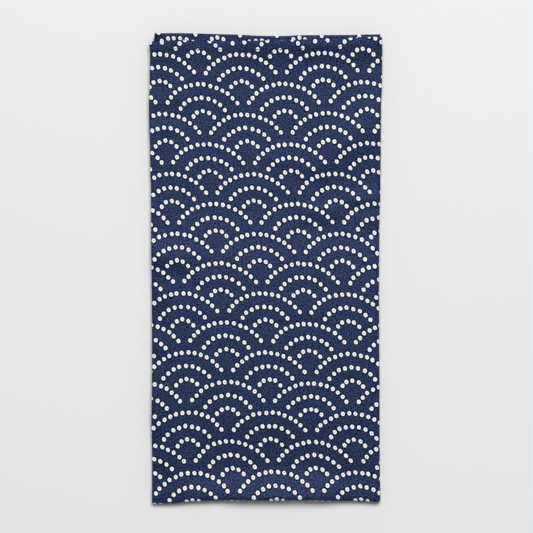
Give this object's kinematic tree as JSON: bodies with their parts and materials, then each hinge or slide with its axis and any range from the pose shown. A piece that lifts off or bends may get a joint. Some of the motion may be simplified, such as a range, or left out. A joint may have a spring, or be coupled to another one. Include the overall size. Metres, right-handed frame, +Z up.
{
  "type": "folded furoshiki wrapping cloth",
  "caption": "Square cotton furoshiki wrapping cloth, folded flat into a long rectangular pack of stacked layers, indigo with a dotted wave pattern.",
  "frame": {"origin": "centre of the folded outline, on the surface that the cloth lies on", "axes": "+Y along the folded cloth, from its last fold to its hems; +Z up through the layers"},
  "size_m": [0.1772, 0.357, 0.015],
  "materials": {
    "cloth": "matt plain-woven cotton, indigo ground with white dots"
  },
  "bodies": {
    "root": {"cloth": "cloth"}
  },
  "joints": []
}
